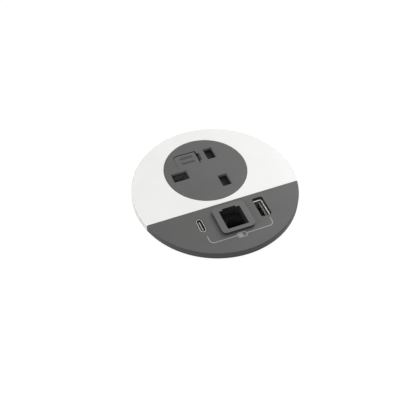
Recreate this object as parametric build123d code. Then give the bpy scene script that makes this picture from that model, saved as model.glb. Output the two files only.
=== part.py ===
from build123d import *
import math
import os

os.makedirs("parts", exist_ok=True)

# Sizes are in millimetres. The desk surface is z = 0, +Z is up and +Y points away from the data ports.
fit = 0.15                      # gap round a piece that is pressed or dropped into another
slide = 0.15                    # gap round a piece that slides
screw_gap = 0.05                # gap round a screw's shank
room = 0.3                      # room round a contact in its pocket

# Disc that lies on the desk
disc_r = 46.4
face_z = 4.7                    # height of the flat top face
trim_t = 1.8                    # thickness of the white and grey top plates
skirt_t = 1.5                   # thickness of their skirt, which hides the flange
lip_r = 0.5                     # rounding of the outer edge, above and below
seam_y = -12.5                  # straight seam between white and grey
seam_gap = 0.12
deck_z = face_z - trim_t        # top of the flange and deck that carry the plates
flange_r = disc_r - skirt_t - fit

# Barrel that goes through the desk
desk_hole_r = 40.0
barrel_r = desk_hole_r - 0.5
thread_pitch = 4.0
thread_h = 0.6
thread_crest_w = 1.2
thread_foot_w = 2.4
thread_bite = 0.4               # how deep its foot reaches into the barrel's wall
thread_r = barrel_r - 0.1       # the thread stays a little below the plain collar
thread_root_r = thread_r - thread_h
collar_h = 8.0                  # plain length below the flange
barrel_h = 46.0
barrel_wall = 2.0
bore_r = barrel_r - barrel_wall

# Pins of the plug that the socket takes
pin_pitch = 22.23
pin_w = 6.35
pin_t = 4.0
earth_w = 8.0
line_x = 7.08                   # line through the live and neutral pins
socket_y = 14.15
earth_x = line_x - pin_pitch
live_y = socket_y + pin_pitch / 2
neutral_y = socket_y - pin_pitch / 2

# Socket face
insert_r = 23.6
insert_t = 2.5                  # thickness of the face over the shutter
insert_wall = 1.3
seat_z = 0.1                    # the face's skirt and bosses end here, on the socket base
insert_edge_r = 0.3
hole_gap_x = 1.1                # an aperture is this much longer or wider than its pin
hole_gap_y = 1.75
earth_gap_x = 1.1
earth_gap_y = 2.0
entry = 0.35                    # chamfer at the mouth of an aperture
ear_x = 28.5
ear_w = 7.4
ear_t = 1.2
ear_z = 0.6

# Fuse carrier, which stands in its slot with the fuse upright in it
slot_x = -7.25
slot_y = 25.05
slot_w = 14.2
slot_d = 9.7
slot_r = 0.7
slot_cut_r = 2.6                # the corner nearest the rim is rounded more
carrier_gap = 0.2
carrier_drop = 0.35             # the carrier's head lies this much below the socket face
pry_gap = 0.6                   # wider gap at its right edge, for the blade that prises it up
cradle_w = 12.6
cradle_d = 8.2
fuse_r = 2.6
fuse_h = 20.0
cap_h = 5.0
cap_t = 0.3
glass_r = 2.35
glass_bore_r = 1.75
link_r = 0.15
fuse_x = slot_x + 1.4
fuse_top = -0.1
cradle_floor = 1.5
pry_w = 1.5
pry_d = 5.4
pry_h = 1.6
pry_end_h = 0.4                 # depth of the notch at its outer end
pry_flat = 0.4                  # level part of its floor, beside the slot

# Shutter
shutter_t = 1.8
shutter_travel = 5.6
blade_w = 5.9
blade_over = 1.0                # how far a blade reaches past its aperture at each end
stem_w = 6.4
ramp_w = 4.9
ramp_h = 5.6
ramp_foot = 0.9
shutter_top = face_z - insert_t - slide
shutter_low = shutter_top - shutter_t
shutter_r = 1.6
blade_x = line_x - pin_t / 2 - hole_gap_x / 2 - 0.6
ramp_x = earth_x + earth_w / 2 + 0.15
spring_r = 1.45
spring_wire = 0.36
spring_z = 0.35
spring_end_x = 19.6
spring_turns = 7

# Socket base and its contacts
base_r = 22.2
base_bottom = -23.5
sheet = 0.6                     # thickness of the brass
clip_w = 6.0
earth_clip_w = 7.6
clip_top = -3.0
clip_bottom = -14.2
earth_clip_top = -6.2
earth_clip_bottom = -19.2
finger_w = 4.0
link_z = -4.6                   # height of the strap from the live contact to the fuse
tail_w = 3.0
tail_bottom = -25.5
boss_spots = [(-12.5, 3.0), (18.2, 19.6), (18.2, 8.7)]
boss_r = 2.1
base_screw_r = 1.0
base_screw_head_r = 1.9
base_screw_head_h = 1.5
base_screw_web = 5.0            # base left under the boss for the screw to clamp
fuse_way_top = -13.6            # the lower fuse contact's way through the base ends here

# Data port
port_y = -25.2                  # centre of the opening in the raised frame
frame_w = 19.3
frame_d = 18.6
frame_y = -24.6
frame_h = 1.7
frame_r = 2.7
frame_edge_r = 0.35
lip_h = 0.6                     # the frame's top edge is this thick and stands out over its side
lip_over = 0.5
bezel_t = 0.6                   # thickness of the frame over the jack
opening_w = 12.2
opening_d = 12.8
opening_r = 0.5
notch_w = 7.7
notch_d = 1.0
well_z = face_z + frame_h - bezel_t   # the jack's face lies here, under the frame
neck_wall = 0.9
neck_bottom = -6.0
bead_z = -3.5
bead = 0.4
jack_w = 14.4
jack_d = 15.1
jack_y = port_y + 0.45           # the jack's middle
jack_h = 32.9
jack_well = 5.0                 # depth of the well above the jack's mouth
mouth_w = 11.8
mouth_d = 6.9
mouth_h = 12.5
latch_w = 6.2
latch_d = 1.6
finger_slot_w = 3.6
finger_slot_d = 1.2
mouth_y = port_y - 5.9
wire_pitch = 1.02
wire_t = 0.36

# USB ports
usb_a_y = -22.5
usb_c_x = -17.9
usb_c_y = -22.9
usb_a_x = 17.85
usb_a_w = 5.5
usb_a_d = 13.1
usb_a_top = 2.2
usb_a_wall = 0.3
usb_a_flare = 0.2               # the shell's mouth is turned out by this much
usb_a_flare_h = 0.5
usb_a_floor = 2.5               # thickness of the port's floor above the board
usb_a_hole_r = 1.2
usb_a_hole_w = 6.1
usb_a_hole_d = 13.5
port_edge_t = 0.6               # the plate is this thick at the edge of the tall port's hole
port_relief = 1.0               # and is thinned this far round it
usb_c_w = 3.26
usb_c_d = 8.94
usb_c_top = 4.5
usb_c_wall = 0.28
usb_c_hole_w = 3.9
usb_c_hole_d = 9.7
usb_c_floor = 7.5
tongue_a_t = 0.95
tongue_a_d = 11.1
tongue_a_gap = 0.7              # from the tongue to the shell's right wall
tongue_a_drop = 0.9             # from the shell's rim down to the tongue's end
pad_a_w = 1.0
pad_a_t = 0.2
pad_a_spots = [-3.5, -1.0, 1.0, 3.5]
tongue_c_t = 0.7
tongue_c_d = 6.0
tongue_c_drop = 0.5
pad_c_pitch = 0.5
pad_c_w = 0.25
pad_c_t = 0.05
pad_c_h = 3.2
pad_c_drop = 1.0                # from the tongue's end down to its pads

# Circuit boards and what they carry
board_t = 1.6
usb_board_z = -10.5             # top of the board under the USB ports
usb_board_x = 30.4
usb_board_r = 36.2
charger_y = -12.8               # front face of the upright board
charger_x = 32.5
charger_top = -9.0
rib_t = 1.5
core_x = -12.0
core_w = 18.0
core_t = 6.0
core_low = -barrel_h + 3.0      # the core stands between the rear cover and the socket base
core_high = base_bottom - 2.5
core_h = core_high - core_low
core_z = (core_high + core_low) / 2
core_leg = 3.5
winding_r = core_w / 2 - core_leg - fit
winding_off = 1.0               # from the board to the winding
flange_t = 0.8                  # thickness of the bobbin's end flanges and feet
flange_over = 0.6               # how far they stand out past the winding
foot_w = 7.0
can_x = 6.0
can_up = 12.0                   # from the barrel's lower end to the can's middle
can_r = 5.0
can_l = 16.0
small_can_x = 18.0
small_can_up = 5.0
small_can_pitch = 10.0
small_can_r = 4.0
small_can_l = 12.0

# Rear cover and its screws
cover_t = 2.5
cover_r = barrel_r - 0.6
cover_boss_r = 3.5
cover_boss_clear = 0.5          # from a boss to the barrel's wall, crossed by its web
cover_boss_ring = bore_r - cover_boss_r - cover_boss_clear
cover_web = 2.4
back_boss_deg = 20.0
front_boss_deg = 35.0
back_boss_top = -20.0
cable_hole_r = 8.0
vent_w = 2.0
vent_l = 12.0
vent_y = -1.5
vent_x = 9.0                    # first vent from the middle
vent_pitch = 4.2
cover_z = -barrel_h - cover_t
cover_screw_r = 1.3
cover_screw_head_r = 2.6
cover_screw_head_h = 1.6
cover_screw_l = 9.0

# Mains inlet, three pins in line
inlet_y = 20.0
inlet_w = 24.0
inlet_d = 12.6
inlet_r = 1.5
inlet_wall = 1.5
inlet_mouth = -60.0
inlet_floor = -43.0
inlet_top = -38.0
inlet_rim = 1.5
inlet_pin_pitch = 7.0
inlet_pin_r = 1.4
inlet_pin_tip = -54.4
inlet_earth_tip = -55.4
inlet_tail_top = -34.0
inlet_latch = 0.6
inlet_latch_w = 5.0
inlet_latch_h = 3.0

# Plate screws, face screws and snap hooks
plate_screw_x = 27.0
plate_screw_y = -17.0
plate_boss_r = 2.5
plate_boss_z = 0.8
plate_screw_r = 1.0
plate_screw_head_r = 2.3
plate_screw_head_h = 1.4
plate_screw_l = 3.8
face_screw_r = 1.25
face_screw_head_r = 2.6
face_screw_head_h = 1.0
face_screw_l = 6.5
ear_boss_r = 3.5
ear_boss_h = 8.0
hook_spots = [(33.0, 3.5), (24.5, -7.6)]
hook_w = 5.0
hook_t = 1.4
hook_lip = 0.6
hook_h = 1.6
ear_over = 0.4                  # the ears reach this much past the face screws' heads

# Clamping ring and washer, drawn for a desk 25 mm thick
desk_t = 25.0
washer_t = 1.0
washer_gap = 0.2
nut_h = 9.0
nut_wall = 6.1
nut_gap = 0.2
nut_r = barrel_r + nut_gap + nut_wall
washer_in = 0.6                 # the washer's edge lies this far inside the nut's
nut_under = 0.05                # gap between the washer and the nut
nut_scallops = 20
scallop_r = 2.4
scallop_top = 1.5               # plain rim left above the scallops


def block(x, y, z):
    """Block between two x values, two y values and two z values."""
    size = [high - low for low, high in (x, y, z)]
    middle = [(high + low) / 2 for low, high in (x, y, z)]
    return Pos(*middle) * Box(*size)


def post(x, y, r, low, high):
    return Pos(x, y, (low + high) / 2) * Cylinder(r, high - low)


def ring(r_out, r_in, low, high):
    return post(0, 0, r_out, low, high) - post(0, 0, r_in, low - 1, high + 1)


def pad(x, y, w, d, r, low, high):
    """Upright block with rounded corners."""
    return Pos(x, y, low) * extrude(RectangleRounded(w, d, r), high - low)


def oval(x, y, w, d, low, high):
    """Upright block whose ends are half round."""
    return Pos(x, y, low) * extrude(SlotOverall(d, w, rotation=90), high - low)


def around(middle, width):
    return middle - width / 2, middle + width / 2


def outline_xz(points, y_low, y_high):
    """Solid with a profile of (x, z) points and flat ends at two y values."""
    face = make_face(Polyline(*[(x, y_low, z) for x, z in points], close=True))
    return extrude(face, y_high - y_low, dir=(0, 1, 0))


def outline_yz(points, x_low, x_high):
    face = make_face(Polyline(*[(x_low, y, z) for y, z in points], close=True))
    return extrude(face, x_high - x_low, dir=(1, 0, 0))


def strip_outline(path, thickness):
    """Outline of a strip of even thickness that follows a bent path."""
    normals = []
    for (a0, b0), (a1, b1) in zip(path, path[1:]):
        length = math.hypot(a1 - a0, b1 - b0)
        normals.append(((b0 - b1) / length, (a1 - a0) / length))
    left = []
    right = []
    for (a, b), before, after in zip(path, normals[:1] + normals, normals + normals[-1:]):
        na = before[0] + after[0]
        nb = before[1] + after[1]
        share = thickness / (na * na + nb * nb)
        left.append((a + na * share, b + nb * share))
        right.append((a - na * share, b - nb * share))
    return left + right[::-1]


def half(solid, front):
    """The part of the disc in front of the seam, or behind it."""
    edge = seam_y - seam_gap / 2 if front else seam_y + seam_gap / 2
    reach = (-2 * disc_r, edge) if front else (edge, 2 * disc_r)
    return solid & block((-2 * disc_r, 2 * disc_r), reach, (-disc_r, disc_r))


def trim_disc():
    """Whole top plate with its skirt, before the seam is cut."""
    disc = post(0, 0, disc_r, 0, face_z)
    return fillet(disc.edges().filter_by(GeomType.CIRCLE), lip_r) - post(0, 0, disc_r - skirt_t, -1, deck_z)


def hook(x, y):
    """Snap hook that goes through the deck and catches under it, facing outwards."""
    side = 1 if x > 0 else -1
    leg = block(around(x, hook_t), around(y, hook_w), (-hook_h, deck_z))
    face_x = x + side * hook_t / 2
    barb = [(face_x, -fit), (face_x + side * hook_lip, -fit), (face_x, -hook_h)]
    return leg + outline_xz(barb, y - hook_w / 2, y + hook_w / 2)


def white_trim():
    plate = half(trim_disc(), front=False)
    plate -= post(0, socket_y, insert_r + fit, -1, face_z + 1)
    for x, y in hook_spots:
        plate += hook(x, y)
        plate += hook(-x, y)
    return plate


def data_plate():
    plate = half(trim_disc(), front=True)
    plate -= pad(usb_a_x, usb_a_y, usb_a_hole_w, usb_a_hole_d, usb_a_hole_r, 0, face_z + 1)
    relief_w = usb_a_hole_w + 2 * port_relief
    relief_d = usb_a_hole_d + 2 * port_relief
    plate -= pad(usb_a_x, usb_a_y, relief_w, relief_d, usb_a_hole_r, 0, face_z - port_edge_t)
    plate -= oval(usb_c_x, usb_c_y, usb_c_hole_w, usb_c_hole_d, 0, face_z + 1)
    plate -= neck_hole(fit, 0, face_z + 1)
    for x in (-plate_screw_x, plate_screw_x):
        plate += post(x, plate_screw_y, plate_boss_r, plate_boss_z, deck_z)
        plate -= post(x, plate_screw_y, plate_screw_r + screw_gap, 0, plate_screw_l + 0.1)
    return plate


def neck_hole(gap, low, high):
    """Space for the neck of the raised frame, with a gap all round."""
    w = jack_w + 2 * (fit + neck_wall + gap)
    d = jack_d + 2 * (fit + neck_wall + gap)
    return pad(0, jack_y, w, d, 0.8, low, high)


def port_opening(low, high):
    """The opening in the raised frame, with the notch for a plug's latch."""
    notch_y = port_y + opening_d / 2
    space = pad(0, port_y, opening_w, opening_d, opening_r, low, high)
    return space + block(around(0, notch_w), (notch_y - 1, notch_y + notch_d), (low, high))


def slot_outline(gap):
    """Outline of the fuse carrier's slot, taken in by a gap all round."""
    w = slot_w - 2 * gap
    d = slot_d - 2 * gap
    cut = slot_cut_r - gap
    face = RectangleRounded(w, d, slot_r)
    face -= Pos((cut - w) / 2, (d - cut) / 2) * Rectangle(cut, cut)
    face += Pos(cut - w / 2, d / 2 - cut) * Circle(cut)
    return Pos(slot_x, slot_y) * face


def aperture(x, y, w, d):
    """Pin aperture with a chamfered mouth."""
    through = block(around(x, w), around(y, d), (0, face_z + 1))
    mouth = Pos(x, y, face_z) * extrude(Rectangle(w + 2 * entry, d + 2 * entry), -entry, taper=45)
    return through + mouth


def socket_face():
    disc = post(0, socket_y, insert_r, face_z - insert_t, face_z)
    rim = disc.edges().filter_by(GeomType.CIRCLE).sort_by(Axis.Z)[-1]
    body = fillet(rim, insert_edge_r)
    low = face_z - insert_t
    skirt = post(0, socket_y, insert_r, seat_z, low) - post(0, socket_y, insert_r - insert_wall, 0, low)
    body += skirt
    for side in (-1, 1):
        inner = side * (insert_r - insert_wall / 2)
        outer = side * (ear_x + face_screw_head_r + ear_over)
        x = (min(inner, outer), max(inner, outer))
        ear = block(x, around(socket_y, ear_w), (ear_z, ear_z + ear_t))
        body += ear - post(side * ear_x, socket_y, face_screw_r + screw_gap, 0, face_z)
    for x, y in boss_spots:
        body += post(x, y, boss_r, seat_z, low)
        body -= post(x, y, base_screw_r + screw_gap, 0, base_screw_tip() + 0.1)
    body -= extrude(slot_outline(0), face_z + 1)
    pry_x = slot_x + slot_w / 2
    notch = [
        (pry_x - 1, face_z - pry_h),
        (pry_x + pry_flat, face_z - pry_h),
        (pry_x + pry_w, face_z - pry_end_h),
        (pry_x + pry_w, face_z + 1),
        (pry_x - 1, face_z + 1),
    ]
    body -= outline_xz(notch, slot_y - 0.3 - pry_d / 2, slot_y - 0.3 + pry_d / 2)
    body -= aperture(line_x, live_y, pin_t + hole_gap_x, pin_w + hole_gap_y)
    body -= aperture(line_x, neutral_y, pin_t + hole_gap_x, pin_w + hole_gap_y)
    body -= aperture(earth_x, socket_y, earth_w + earth_gap_x, pin_t + earth_gap_y)
    return body


def fuse_carrier():
    low = seat_z + 0.05
    high = face_z - carrier_drop
    head = Pos(0, 0, low) * extrude(slot_outline(carrier_gap), high - low)
    edge_x = slot_x + slot_w / 2
    head -= block((edge_x - pry_gap, edge_x), around(slot_y, slot_d), (low, high))
    bottom = fuse_top - fuse_h - cradle_floor
    body = head + pad(slot_x, slot_y, cradle_w, cradle_d, 0.5, bottom, low)
    channel = post(fuse_x, slot_y, fuse_r + fit, fuse_top - fuse_h, fuse_top + 0.1)
    open_x = (fuse_x, slot_x + cradle_w)
    channel += block(open_x, around(slot_y, 2 * (fuse_r + fit)), (fuse_top - fuse_h, fuse_top + 0.1))
    body -= channel
    past = (fuse_x + fuse_r - 0.2, slot_x + cradle_w)
    return body - block(past, around(slot_y, cradle_d + 1), (bottom - 1, fuse_top - fuse_h))


def inside_fuse(r):
    """Round bar between the two caps' end faces."""
    return post(fuse_x, slot_y, r, fuse_top - fuse_h + cap_t, fuse_top - cap_t)


def fuse_caps():
    low = fuse_top - fuse_h
    lower = post(fuse_x, slot_y, fuse_r, low, low + cap_h) - inside_fuse(glass_r)
    upper = post(fuse_x, slot_y, fuse_r, fuse_top - cap_h, fuse_top) - inside_fuse(glass_r)
    return Compound(children=[lower, upper])


def fuse_tube():
    return inside_fuse(glass_r) - inside_fuse(glass_bore_r)


def shutter():
    bar_low = neutral_y - (pin_w + hole_gap_y) / 2 - blade_over
    bar_high = live_y + (pin_w + hole_gap_y) / 2 + blade_over
    bar_x = blade_x + blade_w / 2
    middle = (bar_low + bar_high) / 2
    body = pad(bar_x, middle, blade_w, bar_high - bar_low, shutter_r, shutter_low, shutter_top)
    body += block((ramp_x, bar_x), around(socket_y, stem_w), (shutter_low, shutter_top))
    foot_x = ramp_x - shutter_travel
    foot_z = shutter_top - ramp_h
    wedge = [
        (ramp_x + 2, shutter_top),
        (ramp_x, shutter_top),
        (foot_x, foot_z),
        (foot_x, foot_z - ramp_foot),
        (foot_x + 2.5, foot_z - ramp_foot),
        (ramp_x + 2, shutter_low),
    ]
    body += outline_xz(wedge, socket_y - ramp_w / 2, socket_y + ramp_w / 2)
    lug_x = blade_x + blade_w
    lug = block((lug_x - 1.5, lug_x), around(socket_y, 2 * spring_r), (spring_z - spring_r, shutter_top))
    nose = Pos(lug_x + 0.6, socket_y, spring_z) * Rot(0, 90, 0) * Cylinder(spring_r - spring_wire - 0.2, 1.2)
    return body + lug + nose


def shutter_spring():
    start = blade_x + blade_w + spring_wire / 2
    length = spring_end_x - start - spring_wire / 2
    path = Helix(length / spring_turns, length, spring_r - spring_wire / 2)
    section = Plane(path @ 0, z_dir=path % 0) * Rectangle(spring_wire, spring_wire)
    coil = sweep(section, path=path)
    return Pos(start, socket_y, spring_z) * Rot(0, 90, 0) * coil


def base_screw_seat():
    return seat_z - base_screw_web


def base_screw_tip():
    return face_z - 1.1


def socket_base():
    body = post(0, socket_y, base_r, base_bottom, seat_z)
    for y in (live_y, neutral_y):
        body -= clip_well(line_x, y, clip_bottom - room)
    body -= earth_well()
    top = seat_z + 1
    ramp_low = shutter_top - ramp_h - ramp_foot - room
    ramp_way = (ramp_x - shutter_travel - room, ramp_x + shutter_travel + 3)
    body -= block(ramp_way, around(socket_y, ramp_w + 2 * room), (ramp_low, top))
    spring_way = (blade_x + blade_w - 2, spring_end_x)
    spring_low = spring_z - spring_r - slide
    body -= block(spring_way, around(socket_y, 2 * (spring_r + room)), (spring_low, top))
    floor = fuse_top - fuse_h - cradle_floor - slide
    body -= pad(slot_x, slot_y, cradle_w + 2 * slide, cradle_d + 2 * slide, 0.5, floor, top)
    wall_x = slot_x + cradle_w / 2 + slide
    finger_y = around(slot_y, finger_w + 2 * room)
    body -= block((wall_x - 0.1, line_x - pin_t / 2), finger_y, (link_z - room - 0.1, top))
    body -= block((wall_x - 0.1, wall_x + sheet + 0.2), finger_y, (base_bottom - 1, fuse_way_top))
    for x, y in boss_spots:
        body -= post(x, y, base_screw_r + screw_gap, base_bottom - 1, seat_z + 1)
        body -= post(x, y, base_screw_head_r + fit, base_bottom - 1, base_screw_seat())
    for x, y in ((line_x, live_y), (line_x, neutral_y), (earth_x, socket_y)):
        body -= block(around(x, tail_w + 0.4), around(y, tail_w + 0.4), (base_bottom - 1, clip_bottom))
    return body


def clip_well(x, y, floor):
    half_x = pin_t / 2 + 1.0 + sheet / 2 + room
    half_y = pin_w / 2 + room
    return block((x - half_x, x + half_x), (y - half_y, y + half_y), (floor, seat_z + 1))


def earth_well():
    half_x = earth_w / 2 + room
    half_y = pin_t / 2 + 1.0 + sheet / 2 + room
    y = (socket_y - half_y, socket_y + half_y)
    return block((earth_x - half_x, earth_x + half_x), y, (earth_clip_bottom - room, seat_z + 1))


def clip_path(middle, top, bottom):
    """Bent path of a clip that grips a pin: flared mouth, pinch, belly and floor."""
    leaf = [
        (pin_t / 2 + 1.0, top),
        (pin_t / 2 + 0.2, top - 3.0),
        (pin_t / 2 + 0.7, (top + bottom) / 2 - 1.5),
        (pin_t / 2 + 0.6, bottom + 1.0),
        (pin_t / 2 - 0.6, bottom),
    ]
    right = [(middle + a, b) for a, b in leaf]
    left = [(middle - a, b) for a, b in leaf]
    return left + right[::-1]


def line_clip(y):
    """Clip for the live or neutral pin, with a tail below it for the wire."""
    outline = strip_outline(clip_path(line_x, clip_top, clip_bottom), sheet)
    body = outline_xz(outline, y - clip_w / 2, y + clip_w / 2)
    tail = block(around(line_x, sheet), around(y, tail_w), (tail_bottom, clip_bottom))
    return body + tail


def live_contact():
    wall_x = slot_x + cradle_w / 2 + slide
    root = wall_x + sheet / 2 + 0.1
    tip = fuse_x + fuse_r + fit + sheet / 2
    path = [
        (line_x - pin_t / 2 - 0.75, link_z),
        (root, link_z),
        (root, link_z + 1.1),
        (tip, link_z + 2.4),
        (tip + 1.2, link_z + 3.5),
    ]
    finger = outline_xz(strip_outline(path, sheet), slot_y - finger_w / 2, slot_y + finger_w / 2)
    return line_clip(live_y) + finger


def fuse_clip():
    wall_x = slot_x + cradle_w / 2 + slide
    root = wall_x + sheet / 2 + 0.1
    tip = fuse_x + fuse_r + fit + sheet / 2
    low = fuse_top - fuse_h
    path = [(root, tail_bottom), (root, low + 0.8), (tip, low + 2.4), (tip + 1.2, low + 3.6)]
    return outline_xz(strip_outline(path, sheet), slot_y - finger_w / 2, slot_y + finger_w / 2)


def earth_contact():
    path = clip_path(socket_y, earth_clip_top, earth_clip_bottom)
    outline = strip_outline(path, sheet)
    body = outline_yz(outline, earth_x - earth_clip_w / 2, earth_x + earth_clip_w / 2)
    tail = block(around(earth_x, tail_w), around(socket_y, sheet), (tail_bottom, earth_clip_bottom))
    return body + tail


def screw(x, y, seat, tip, shank_r, head_r, head_h):
    """Plain screw: its head is on the far side of the seat from its tip."""
    way = 1 if tip > seat else -1
    shank = post(x, y, shank_r, min(seat, tip), max(seat, tip))
    end = seat - way * head_h
    return shank + post(x, y, head_r, min(seat, end), max(seat, end))


def base_screws():
    return Compound(children=[
        screw(x, y, base_screw_seat(), base_screw_tip(), base_screw_r, base_screw_head_r, base_screw_head_h)
        for x, y in boss_spots
    ])


def face_screws():
    seat = ear_z + ear_t
    return Compound(children=[
        screw(x, socket_y, seat, seat - face_screw_l, face_screw_r, face_screw_head_r, face_screw_head_h)
        for x in (-ear_x, ear_x)
    ])


def plate_screws():
    return Compound(children=[
        screw(x, plate_screw_y, 0, plate_screw_l, plate_screw_r, plate_screw_head_r, plate_screw_head_h)
        for x in (-plate_screw_x, plate_screw_x)
    ])


def cover_boss_spots():
    """Where the rear cover's screws are, and how high each boss reaches."""
    spots = []
    for side in (0, 180):
        turn = math.radians(back_boss_deg if side == 0 else 180 - back_boss_deg)
        spots.append((cover_boss_ring * math.cos(turn), cover_boss_ring * math.sin(turn), back_boss_top))
    for side in (1, -1):
        turn = math.radians(front_boss_deg)
        x = side * cover_boss_ring * math.cos(turn)
        spots.append((x, -cover_boss_ring * math.sin(turn), usb_board_z - board_t))
    return spots


def cover_screw_tip():
    return cover_z + cover_screw_head_h + cover_screw_l


def cover_screws():
    seat = cover_z + cover_screw_head_h
    return Compound(children=[
        screw(x, y, seat, cover_screw_tip(), cover_screw_r, cover_screw_head_r, cover_screw_head_h)
        for x, y, top in cover_boss_spots()
    ])


def body_shell():
    body = threaded_barrel() + post(0, 0, flange_r, 0, deck_z) + board_ribs()
    for x, y, top in cover_boss_spots():
        body += cover_boss(x, y, top)
    for x, y, top in cover_boss_spots():
        body -= post(x, y, cover_screw_r + screw_gap, -barrel_h - 1, cover_screw_tip() + 0.5)
    body -= post(0, socket_y, insert_r + fit, 0, deck_z + 1)
    for side in (-1, 1):
        x = side * ear_x
        reach = side * (ear_x + face_screw_head_r + ear_over + fit)
        body += post(x, socket_y, ear_boss_r, -ear_boss_h, 0)
        recess_x = (min(0, reach), max(0, reach))
        body -= block(recess_x, around(socket_y, ear_w + 2 * fit), (ear_z, deck_z + 1))
        body -= post(x, socket_y, face_screw_r + screw_gap, ear_z + ear_t - face_screw_l - 0.3, deck_z)
        for hook_x, hook_y in hook_spots:
            room = hook_t + hook_lip + 2 * fit
            middle = side * (hook_x + hook_lip / 2)
            body -= block(around(middle, room), around(hook_y, hook_w + 2 * fit), (-hook_h - 1, deck_z + 1))
        x = side * plate_screw_x
        body -= post(x, plate_screw_y, plate_boss_r + fit, plate_boss_z, deck_z + 1)
        body -= post(x, plate_screw_y, plate_screw_r + screw_gap, -1, deck_z)
    body -= neck_hole(fit, -1, deck_z + 1)
    over = 2 * (usb_a_flare + fit)
    body -= pad(usb_a_x, usb_a_y, usb_a_w + over, usb_a_d + over, 0.5, -1, deck_z + 1)
    body -= oval(usb_c_x, usb_c_y, usb_c_w + 2 * fit, usb_c_d + 2 * fit, -1, deck_z + 1)
    return body


def cover_boss(x, y, top):
    """Screw boss on the barrel's wall, with a web that joins it to the wall."""
    boss = post(x, y, cover_boss_r, -barrel_h, top)
    out = math.degrees(math.atan2(y, x))
    web = block((cover_boss_ring, bore_r + 1), around(0, cover_web), (-barrel_h, top))
    return boss + Rot(0, 0, out) * web


def thread_turn():
    """One turn of the thread's ridge, with its foot in the barrel's wall."""
    path = Helix(thread_pitch, thread_pitch, thread_root_r)
    inner_r = thread_root_r - thread_bite
    flank = (thread_foot_w - thread_crest_w) / thread_h
    foot_w = thread_foot_w + flank * thread_bite
    profile = [
        (inner_r, -foot_w / 2),
        (thread_r, -thread_crest_w / 2),
        (thread_r, thread_crest_w / 2),
        (inner_r, foot_w / 2),
    ]
    face = make_face(Polyline(*[(x, 0, z) for x, z in profile], close=True))
    return sweep(face, path=path, is_frenet=True)


def threaded_barrel():
    """Barrel whose thread starts at its lower end and runs out in the plain collar."""
    low = -barrel_h - 2 * thread_pitch
    tube = ring(thread_root_r, bore_r, low, -collar_h) + ring(barrel_r, bore_r, -collar_h, 0)
    first = -barrel_h - thread_pitch
    turns = math.ceil((barrel_h - collar_h) / thread_pitch + 1.5)
    turn = thread_turn()
    tube += [Pos(0, 0, first + i * thread_pitch) * turn for i in range(turns)]
    reach = (-disc_r, disc_r)
    return tube & block(reach, reach, (-barrel_h, 0))


def board_ribs():
    """Two pairs of upright ribs on the barrel's wall that hold the edges of the charger board."""
    back_y = charger_y + board_t
    ribs = []
    for side in (-1, 1):
        for y in ((charger_y - fit - rib_t, charger_y - fit), (back_y + fit, back_y + fit + rib_t)):
            x = sorted((side * (charger_x - 1.5), side * (bore_r + 5)))
            ribs.append(block(x, y, (-barrel_h, charger_top)))
    return (ribs[0] + ribs[1] + ribs[2] + ribs[3]) & post(0, 0, bore_r + 0.5, -barrel_h, 0)


def jack_frame():
    """Raised frame with an overhanging edge, and a neck below it that holds the jack."""
    top = face_z + frame_h
    edge = pad(0, frame_y, frame_w, frame_d, frame_r, top - lip_h, top)
    top_edges = edge.edges().filter_by(Plane.XY).group_by(Axis.Z)[-1]
    body = fillet(top_edges, frame_edge_r)
    side_w = frame_w - 2 * lip_over
    side_d = frame_d - 2 * lip_over
    body += pad(0, frame_y, side_w, side_d, frame_r - lip_over, face_z, top - lip_h)
    body += neck_hole(0, neck_bottom, face_z)
    body -= port_opening(well_z, top + 1)
    body -= block(around(0, jack_w + 2 * fit), around(jack_y, jack_d + 2 * fit), (bead_z, well_z))
    inner_w = jack_w - 2 * bead + 2 * fit
    inner_d = jack_d - 2 * bead + 2 * fit
    body -= block(around(0, inner_w), around(jack_y, inner_d), (neck_bottom - 1, bead_z))
    edge = jack_w / 2 + fit + neck_wall
    for side in (-1, 1):
        barb = [(side * edge, -fit), (side * (edge + 0.6), -fit), (side * edge, -2.2)]
        body += outline_xz(barb, jack_y - 3, jack_y + 3)
    return body


def mouth(low, high):
    """Space for a data plug: its body, its latch and the latch's finger."""
    space = block(around(0, mouth_w), (mouth_y, mouth_y + mouth_d), (low, high))
    latch_y = mouth_y + mouth_d + latch_d
    space += block(around(0, latch_w), (mouth_y + mouth_d - 1, latch_y), (low, high))
    return space + block(around(0, finger_slot_w), (latch_y - 1, latch_y + finger_slot_d), (low, high))


def data_jack():
    """Coupler with a mouth at each end; the upper one lies at the foot of a well."""
    bottom = well_z - jack_h
    body = block(around(0, jack_w), around(jack_y, jack_d), (bead_z, well_z))
    inner = jack_w - 2 * bead
    body += block(around(0, inner), around(jack_y, jack_d - 2 * bead), (bottom, bead_z))
    body -= port_opening(well_z - jack_well, well_z + 1)
    body -= mouth(well_z - jack_well - mouth_h, well_z)
    return body - mouth(bottom - 1, bottom + mouth_h)


def jack_pins(mouth_z, way):
    """Eight sprung wires that slope from the mouth's wall towards its middle."""
    root = mouth_z - way * (mouth_h - 0.2)
    tip = mouth_z - way * 4.8
    path = [(mouth_y + 2.6, root), (mouth_y + 2.9, root + way * 1.2), (mouth_y + 0.7, tip)]
    outline = strip_outline(path, wire_t)
    first = -3.5 * wire_pitch
    wires = []
    for i in range(8):
        x = first + i * wire_pitch
        wires.append(outline_yz(outline, x - wire_t / 2, x + wire_t / 2))
    return Compound(children=wires)


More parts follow.
